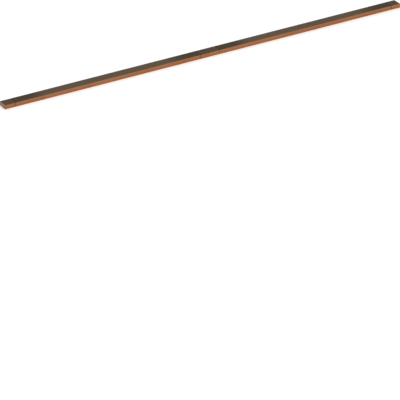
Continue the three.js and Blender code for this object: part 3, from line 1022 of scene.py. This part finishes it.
def wind_thread(start, end):
    """A closed helical ridge about Z, from one height to another in millimetres."""
    ridge_end = start + 2 * RIDGE_HALF
    corners = [(RIDGE_ROOT, start), (SHANK_RADIUS, start + RIDGE_HALF), (RIDGE_ROOT, ridge_end)]
    ridge = draw_profile("thread", corners)
    with editing(ridge):
        bpy.ops.mesh.edge_face_add()
        bpy.ops.mesh.select_all(action="SELECT")
        bpy.ops.mesh.delete(type="ONLY_FACE")
    winding = ridge.modifiers.new("wind", "SCREW")
    winding.screw_offset = THREAD_PITCH * MM
    winding.iterations = int((end - ridge_end) / THREAD_PITCH)
    winding.steps = winding.render_steps = THREAD_STEPS
    winding.use_merge_vertices = False
    select_only(ridge)
    bpy.ops.object.modifier_apply(modifier=winding.name)
    with editing(ridge):
        bpy.ops.mesh.remove_doubles(threshold=MERGE_DISTANCE)
        bpy.ops.mesh.select_all(action="SELECT")
        bpy.ops.mesh.fill_holes(sides=3)
        bpy.ops.mesh.select_all(action="SELECT")
        bpy.ops.mesh.normals_make_consistent(inside=False)
    return ridge


def recess_arm(size_x, size_y):
    """One bar of the cross recess. It is narrower at its bottom, at RECESS_DEPTH."""
    low = Vector((-size_x / 2, -size_y / 2, -RECESS_DEPTH)) * MM
    high = Vector((size_x / 2, size_y / 2, RECESS_DEPTH)) * MM
    arm = block_between("recess", low, high)
    with editing(arm):
        pick_faces(arm, lambda _, normal: normal.z > FACING)
        taper = (RECESS_TAPER, RECESS_TAPER, 1)
        bpy.ops.transform.resize(value=taper, center_override=(0, 0, RECESS_DEPTH * MM))
    return arm


def make_screw(name, length):
    """A countersunk screw along +Z, with its head face at the origin."""
    screw = turn(
        name,
        [
            (0, 0),
            (HEAD_RADIUS - HEAD_EASE, 0),
            (HEAD_RADIUS, HEAD_EASE),
            (HEAD_RADIUS, HEAD_EDGE),
            (CORE_RADIUS, HEAD_HEIGHT),
            (CORE_RADIUS, length - SCREW_POINT),
            (CORE_RADIUS - SCREW_POINT, length),
            (0, length),
        ],
    )
    shape_with(screw, [wind_thread(THREAD_START, length - SCREW_POINT)], "UNION")
    return shape_with(screw, [recess_arm(RECESS_ARM, RECESS_WIDTH), recess_arm(RECESS_WIDTH, RECESS_ARM)])


def twin(piece, name):
    """A copy with a mesh of its own."""
    copy = piece.copy()
    copy.data = piece.data.copy()
    copy.name = name
    bpy.context.scene.collection.objects.link(copy)
    return copy


def set_copies(pattern, places, **turning):
    """Put one copy of a piece at each named place, and throw the pattern away."""
    made = {}
    for place, point in places.items():
        made[place] = place_at(twin(pattern, f"{pattern.name}_{place}"), *point, **turning)
    bpy.data.objects.remove(pattern)
    return made


joint_screws = set_copies(
    make_screw("left_threaded_joint_screw", JOINT_SCREW_LENGTH),
    {place: (x, 0, HEAD_SINK * MM) for place, x in JOINT_XS.items()},
)
plate_screws = set_copies(
    make_screw("left_threaded_plate_screw", PLATE_SCREW_LENGTH),
    {
        place: (END_X + HEAD_SINK * MM, way * PLATE_SCREW_SIDE * MM, PLATE_SCREW_Z)
        for place, way in (("a", -1), ("b", 1))
    },
    lay_along_x=True,
)
for screw in (*joint_screws.values(), *plate_screws.values()):
    print(screw.name, len(screw.data.polygons), "faces")

# %% [markdown]
# ## Rivets
#
# A rivet joins each spring to the bar above it. Its head is a low dome under the crown of the
# spring, and its shank goes up through the spring into the bar. The dome is a quarter ellipse.

# %% Rivets
CROWN_TOP, STRIP_GAUGE = 5.1, 0.4
RIVET_HEAD_RADIUS, RIVET_HEAD = 2.3, 0.5
DOME_STEPS, RIVET_POINT = 7, 0.2
RIVET_SEAT = CROWN_TOP - STRIP_GAUGE - CLEARANCE
RIVET_END = GROOVE_FLOOR - CLEARANCE


def make_rivet():
    angles = [math.pi / 2 * step / DOME_STEPS for step in range(DOME_STEPS + 1)]
    dome = [(RIVET_HEAD_RADIUS * math.sin(a), RIVET_SEAT - RIVET_HEAD * math.cos(a)) for a in angles]
    shank = [
        (SHANK_RADIUS, RIVET_SEAT),
        (SHANK_RADIUS, RIVET_END - RIVET_POINT),
        (SHANK_RADIUS - RIVET_POINT, RIVET_END),
        (0, RIVET_END),
    ]
    return turn("left_domed_rivet", dome + shank)


rivets = set_copies(make_rivet(), {place: (x, 0, 0) for place, x in SPRING_MIDDLES.items()})
print("rivets", len(rivets), "with", DOME_STEPS, "steps in the dome")

# %% [markdown]
# ## Bow springs
#
# A bow spring is a strip of thin steel with a long, gentle arch. Both feet slide on the web and
# the crown pushes the bar up. The strip is a fine grid. Proportional editing lifts its middle row
# with a smooth falloff, which bends it into the bow, and then lifts each end row a little, because
# the tips are turned up so that they slide without scratching. Solidify gives the strip its gauge.

# %% Springs
SPRING_LOW, SPRING_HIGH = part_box("left_spring_outer")
SPRING_LENGTH = SPRING_HIGH.x - SPRING_LOW.x
SPRING_COLUMNS, SPRING_ROWS = 80, 4
BOW_RISE = SPRING_HIGH.z - SPRING_LOW.z - STRIP_GAUGE * MM
TIP_RISE, TIP_REACH = 0.5 * MM, 5 * MM


def lift_row(strip, x, rise, reach):
    with editing(strip):
        bpy.ops.mesh.select_mode(type="VERT")
        bpy.ops.mesh.select_all(action="DESELECT")
        mesh = bmesh.from_edit_mesh(strip.data)
        for vertex in mesh.verts:
            vertex.select_set(near(vertex.co.x, x))
        bmesh.update_edit_mesh(strip.data)
        bpy.ops.transform.translate(
            value=(0, 0, rise),
            use_proportional_edit=True,
            proportional_edit_falloff="SMOOTH",
            proportional_size=reach,
        )


def make_spring():
    bpy.ops.object.select_all(action="DESELECT")
    bpy.ops.mesh.primitive_grid_add(
        x_subdivisions=SPRING_COLUMNS, y_subdivisions=SPRING_ROWS, size=1, location=(0, 0, SPRING_LOW.z)
    )
    strip = bpy.context.object
    strip.name = "left_bow_spring"
    strip.scale = (SPRING_LENGTH, SPRING_HIGH.y - SPRING_LOW.y, 1)
    bpy.ops.object.transform_apply(location=True, rotation=True, scale=True)
    lift_row(strip, 0, BOW_RISE, SPRING_LENGTH / 2)
    for end in (-1, 1):
        lift_row(strip, end * SPRING_LENGTH / 2, TIP_RISE, TIP_REACH)
    gauge = strip.modifiers.new("gauge", "SOLIDIFY")
    gauge.thickness = STRIP_GAUGE * MM
    gauge.offset = 1
    select_only(strip)
    bpy.ops.object.modifier_apply(modifier=gauge.name)
    return shape_with(strip, [rod("punch", SHANK_RADIUS + CLEARANCE, 0, RIB_TIP)])


springs = set_copies(make_spring(), {place: (x, 0, 0) for place, x in SPRING_MIDDLES.items()})
tallest = max(v.co.z for v in springs["outer"].data.vertices)
print("springs", len(springs), "with the crown at", round(tallest / MM, 2), "mm")

# %% [markdown]
# ## The other half
#
# The sweep looks the same when it is turned half round about its middle. So every piece on the
# left is copied and turned to make its twin on the right. A half turn isn't a mirror image, so the
# faces still point outwards.

# %% Turn copies to the right
HALF_TURN = Matrix.Rotation(math.pi, 4, "Z")
left_pieces = {
    "channel": (channel, "copper_anodised"),
    "end_block": (end_block, "copper_anodised"),
    "end_plate": (end_plate, "bronze_plate"),
    "end_pad": (end_pad, "pad_rubber"),
    "seal_bar": (seal_bar, "mill_aluminium"),
    "seal": (seal, "seal_rubber"),
    **{f"joint_screw_{place}": (made, "screw_steel") for place, made in joint_screws.items()},
    **{f"plate_screw_{place}": (made, "bronzed_screw") for place, made in plate_screws.items()},
    **{f"spring_rivet_{place}": (made, "screw_steel") for place, made in rivets.items()},
    **{f"spring_{place}": (made, "spring_steel") for place, made in springs.items()},
}
FLOATING = ("seal_bar", "seal", "spring_rivet_outer", "spring_rivet_inner")


def turned_twin(piece):
    right = twin(piece, piece.name.replace("left", "right", 1))
    right.data.transform(HALF_TURN)
    return right


right_pieces = {part: (turned_twin(piece), slot) for part, (piece, slot) in left_pieces.items()}
print(len(right_pieces), "pieces turned to the right")

# %% [markdown]
# ## Hand the pieces over
#
# Each piece now rides on a body of the frame, takes the place of its CAD part and says which
# finish it has. The springs stay with the housing, because their feet do, and each gets a mesh of
# its own. Bevels and cuts can leave two points at one place, so those are merged first. Smooth
# shading by angle then keeps curved faces soft and flat faces flat.

# %% Ride, replace and finish
SMOOTH_BELOW = math.radians(35)


def hand_over(piece, node, body, slot):
    with editing(piece):
        bpy.ops.mesh.remove_doubles(threshold=MERGE_DISTANCE)
    bpy.ops.object.shade_smooth_by_angle(angle=SMOOTH_BELOW)
    piece.data.name = piece.name
    piece.data.materials.clear()
    piece.data.materials.append(FINISHES[slot])
    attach(piece, body)
    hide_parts(node)


def press_with(piece):
    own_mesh(piece)


for side, pieces in (("left", left_pieces), ("right", right_pieces)):
    for part, (piece, slot) in pieces.items():
        body = f"{side}_floating_seal" if part in FLOATING else "housing"
        hand_over(piece, f"{side}_{part}", body, slot)
        if part in ("spring_outer", "spring_inner"):
            press_with(piece)
hand_over(coupler, "centre_coupler", "housing", "copper_anodised")
hand_over(centre_pad, "centre_pad", "housing", "pad_rubber")
